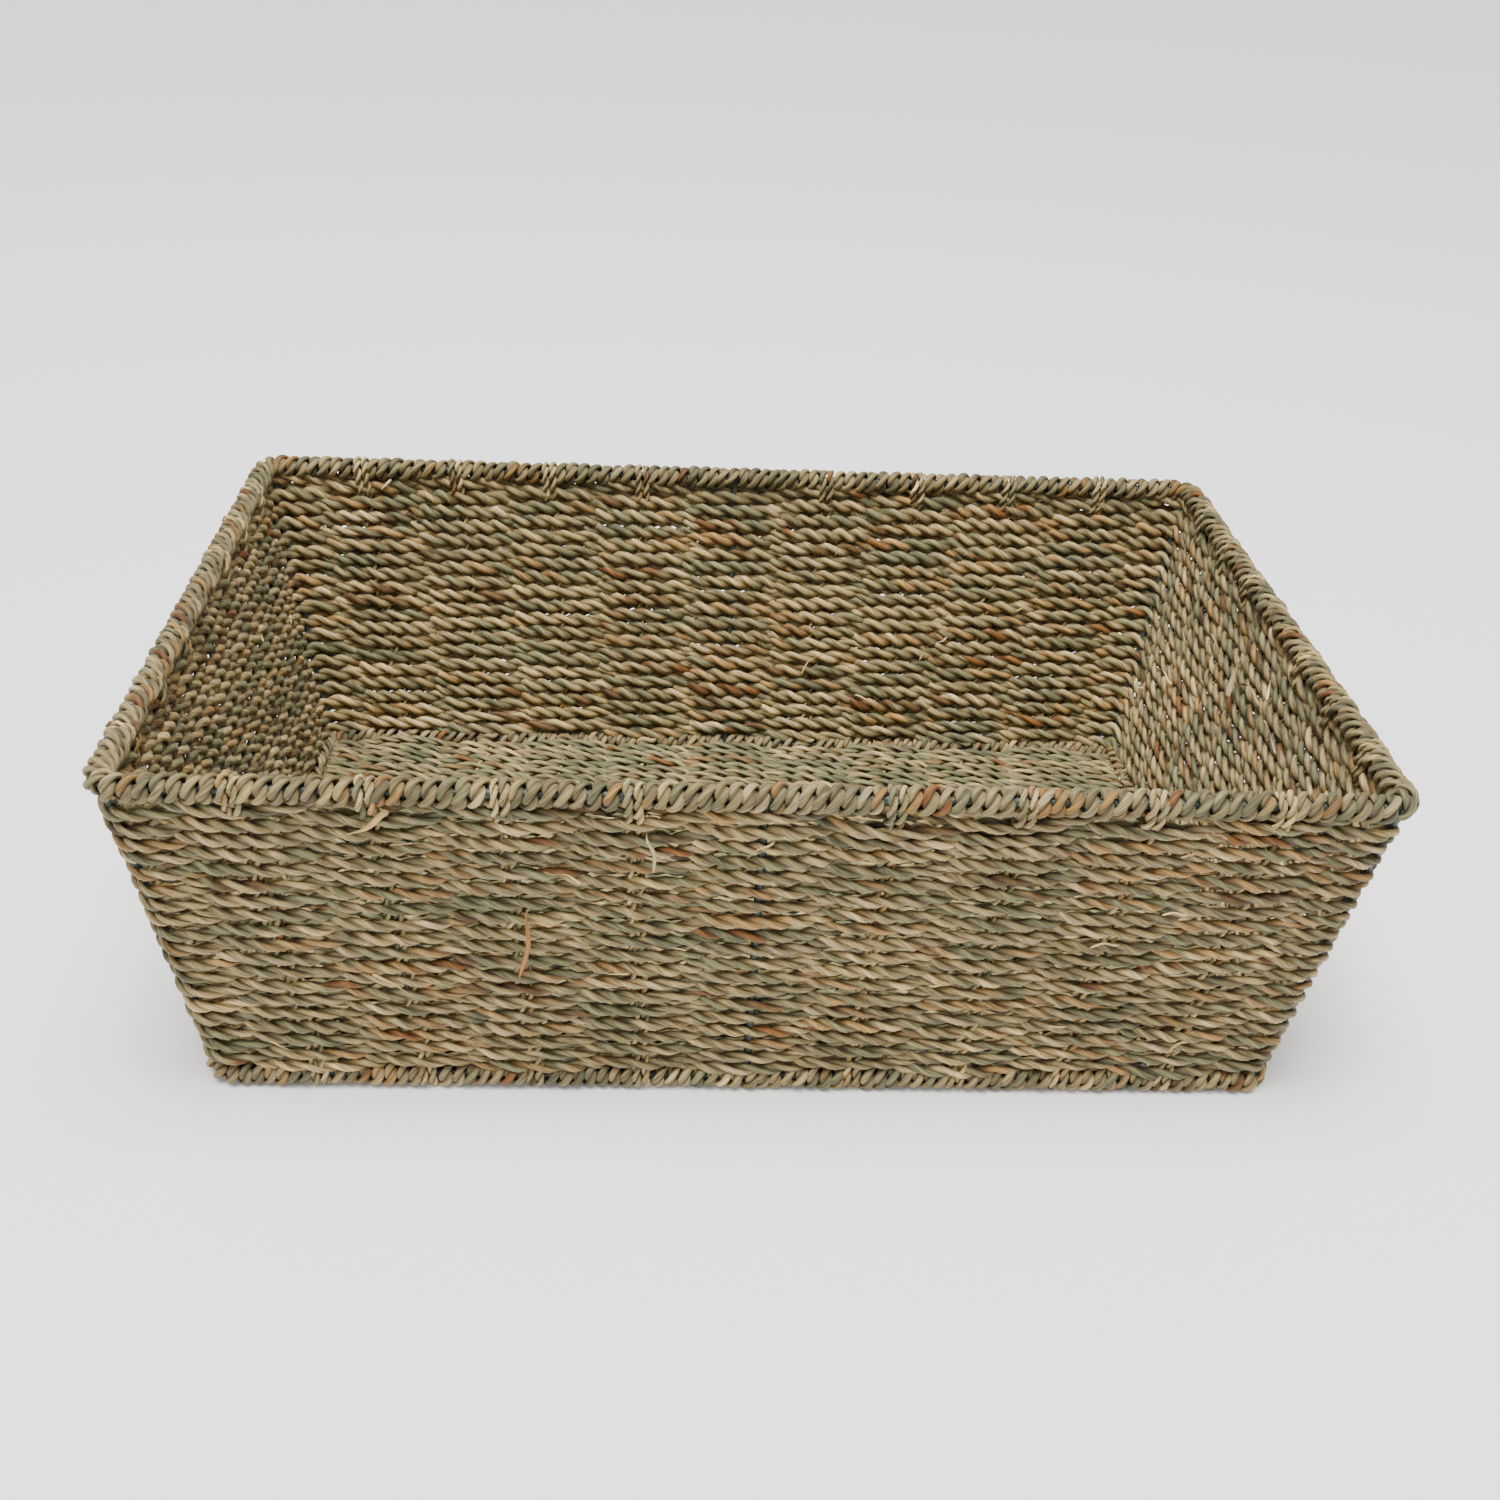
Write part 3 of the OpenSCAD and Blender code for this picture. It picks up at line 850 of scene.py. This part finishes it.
def add_stake(cords, points, rng):
    path = rounded_line(points, STAKE_STEP)
    across = [1.0, 0, 0] if np.ptp(path[:, 1]) > np.ptp(path[:, 0]) else [0, 1.0, 0]
    cords.add(path, np.tile(across, (len(path), 1)), STAKE_D, STAKE_LAY, rng, WALL_LEAVES)


def stakes(material):
    """All doubled cords: from front rim to back rim across the floor, and down the end walls."""
    inset = 8 * MM
    for i in range(1, LONG_BAYS):
        if i == LONG_BAYS // 2:
            continue
        cords = Cords("cross_stake_%d_cords" % i)
        rng = np.random.default_rng(CROSS_STAKE_SEED + i)
        for strand in (-1, 1):
            front = stake_side_points(0, i, strand, "through")
            back = stake_side_points(2, LONG_BAYS - i, -strand, "through")
            floor = floor_run((front[-1][0], front[-1][1] + inset), (back[-1][0], back[-1][1] - inset))
            add_stake(cords, front + floor + back[::-1], rng)
        cords.build(material, ["cross_stake_%d" % i])
    for side in (1, 3):
        for i in range(1, SHORT_BAYS):
            if i == SHORT_BAYS // 2:
                continue
            name = "%s_stake_%d" % (SIDE_NAMES[side], i)
            cords = Cords(name + "_cords")
            rng = np.random.default_rng(SIDE_STAKE_SEED + 10 * side + i)
            for strand in (-1, 1):
                add_stake(cords, stake_side_points(side, i, strand, "tucked"), rng)
            cords.build(material, [name])


# ---- loose fibres ----

# Shares of a fibre's length: what is tucked in, how far it curls and lifts, and how far its end droops
FIBRE_TUCK, FIBRE_CURLS, FIBRE_LIFTS, FIBRE_DROOP = 0.25, (-0.2, 0.2), (0.15, 0.35), 0.15
FIBRE_SINK = 1.2 * MM
FIBRE_LAY = 60 * MM
FIBRE_SEAT = 4.6 * MM
SCATTERED_FIBRES = 84


def add_fibre(cords, rng, start, along, out, length, width, leaves):
    """A sliver of leaf that lifts off the cords and droops at its free end."""
    side = np.cross(along, out)
    curl = rng.uniform(*FIBRE_CURLS, 2) * length
    lift = rng.uniform(*FIBRE_LIFTS) * length
    droop = np.array([0, 0, -FIBRE_DROOP * length])
    points = [start - FIBRE_TUCK * length * along - FIBRE_SINK * out, start]
    points.append(start + 0.5 * length * along + 0.5 * lift * out + curl[0] * side)
    points.append(start + length * along + lift * out + curl[1] * side + droop)
    path = rounded_line(points, FIBRE_STEP)
    cords.add(path, np.tile(side, (len(path), 1)), width, FIBRE_LAY, rng, leaves)


def wall_fibre(cords, rng, side, across, share, length, width, slope, outside=True, leaves=STRAY_LEAVES):
    """A fibre on a wall. across and share are fractions of the wall's length and height.

    slope is the angle up from level at which it leaves, and outside says on which face of the wall.
    """
    ring = ring_at(share)
    middle = ring.side_start[side] + ring.side_length[side] / 2
    place, outward = ring.point(np.array([middle + across * 2 * ring.half[side]]))
    outward = leaning(outward)[0] * (1 if outside else -1)
    level = unit(np.cross([0, 0, 1], outward))
    along = unit(level * math.cos(slope) + np.cross(outward, level) * math.sin(slope))
    add_fibre(cords, rng, place[0] + outward * FIBRE_SEAT, along, outward, length, width, leaves)


def loose_fibres(material):
    """Four stray leaves in the photograph's places, and smaller ones scattered over all walls."""
    cords = Cords("loose_fibres", LEAF)
    rng = np.random.default_rng(FIBRE_SEED)
    wall_fibre(cords, rng, 0, -0.19, 0.62, 22 * MM, 2.0 * MM, math.radians(-108), leaves=BROWN_LEAVES)
    wall_fibre(cords, rng, 0, -0.29, 0.95, 13 * MM, 2.6 * MM, math.radians(200))
    wall_fibre(cords, rng, 0, -0.09, 0.88, 12 * MM, 1.4 * MM, math.radians(-85))
    wall_fibre(cords, rng, 1, 0.05, 0.8, 15 * MM, 2.4 * MM, math.radians(-50), False)
    for _ in range(SCATTERED_FIBRES):
        side = rng.integers(4)
        slope = rng.choice([0, math.pi]) + rng.uniform(-0.7, 0.7)
        length, width = rng.uniform(5, 15) * MM, rng.uniform(0.5, 1.3) * MM
        wall_fibre(cords, rng, side, rng.uniform(-0.45, 0.45), rng.uniform(0.1, 0.97),
                   length, width, slope, rng.uniform() < 0.5)
    cords.build(material, [])


# ---- room, light and camera ----

def room():
    """A plain pale floor and an even white sky."""
    bpy.ops.mesh.primitive_plane_add(size=14, location=(0, 0, 0))
    floor = bpy.context.object
    floor.name = "studio_floor"
    material, _, _, shader = new_material("studio_white")
    shader.inputs["Base Color"].default_value = (0.86, 0.86, 0.86, 1)
    shader.inputs["Roughness"].default_value = 0.8
    shader.inputs["Emission Color"].default_value = (1, 1, 1, 1)
    shader.inputs["Emission Strength"].default_value = 0.1
    floor.data.materials.append(material)
    world = bpy.data.worlds.new("studio")
    world.use_nodes = True
    background = world.node_tree.nodes["Background"]
    background.inputs["Color"].default_value = (1, 1, 1, 1)
    background.inputs["Strength"].default_value = 0.60
    bpy.context.scene.world = world


def softbox(name, place, target, size, watts):
    light = bpy.data.lights.new(name, "AREA")
    light.shape = "SQUARE"
    light.size = size
    light.energy = watts
    lamp = bpy.data.objects.new(name, light)
    lamp.location = place
    lamp.rotation_mode = "QUATERNION"
    lamp.rotation_quaternion = (Vector(target) - Vector(place)).to_track_quat("-Z", "Y")
    bpy.context.scene.collection.objects.link(lamp)


def lights():
    """A softbox above the basket and a wide soft sun, high behind the camera."""
    softbox("top", (0.0, -0.3, 2.1), (0, 0, 0.05), 1.0, 56)
    sky = bpy.data.lights.new("sky", "SUN")
    sky.energy = 3.5
    sky.angle = math.radians(36)
    lamp = bpy.data.objects.new("sky", sky)
    lamp.rotation_euler = Vector((0.16, 0.38, -1)).to_track_quat("-Z", "Y").to_euler()
    bpy.context.scene.collection.objects.link(lamp)


def camera():
    """The photograph's viewpoint. Its place is in rim lengths from the middle of the base wire's ring."""
    yaw, pitch, roll = math.radians(3.82), math.radians(29.09), math.radians(2.89)
    viewpoint = Vector((-0.092, -1.511, 0.998))
    rim_length = 2 * RIM_HALF[0]
    data = bpy.data.cameras.new("camera")
    data.sensor_width = 36
    data.lens = 43.3
    data.clip_start = 0.01
    data.clip_end = 50
    forward = Vector((math.sin(yaw) * math.cos(pitch), math.cos(yaw) * math.cos(pitch), -math.sin(pitch)))
    level = Vector((math.cos(yaw), -math.sin(yaw), 0))
    above = level.cross(forward)
    right = level * math.cos(roll) + above * math.sin(roll)
    up = above * math.cos(roll) - level * math.sin(roll)
    cam = bpy.data.objects.new("camera", data)
    turn = Matrix((right, up, -forward)).transposed()
    place = viewpoint * rim_length + Vector((0, 0, BASE_Z))
    cam.matrix_world = Matrix.Translation(place) @ turn.to_4x4()
    bpy.context.scene.collection.objects.link(cam)
    bpy.context.scene.camera = cam


camera()
room()
lights()

# The wire frame keeps its CAD shapes and is painted
wire = painted_wire()
for node_name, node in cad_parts.items():
    if any(word in node_name for word in ("wire", "post", "bar")):
        node.data.materials.clear()
        node.data.materials.append(wire)

# Each copy of the seagrass has its own brightness. The floor and the rim binding keep their own leaf colours,
# but their lower brightness is painted shade against the light from above, and the base binding is the walls'
# leaves darkened as painted shade for the shadow at the basket's foot.
wall_weave(seagrass("wall_seagrass", 0.83))
floor_weave(seagrass("floor_seagrass_painted_shade", 0.75))
stakes(seagrass("stake_seagrass"))

# The sides of the ring wires on which the bindings pass the stakes
DOWN, IN_AND_UP = -math.pi / 2, math.radians(135)
binding("rim_binding", ring_at(1), seagrass("rim_seagrass_painted_shade", 0.48), RIM_LEAVES,
        5.1 * MM, 5.6 * MM, DOWN, -1, BINDING_SEED)
binding("base_binding", ring_at(0), seagrass("base_seagrass_painted_shade", 0.64), WALL_LEAVES,
        4.8 * MM, 5.2 * MM, IN_AND_UP, 1, BINDING_SEED + 1)
loose_fibres(seagrass("stray_seagrass"))
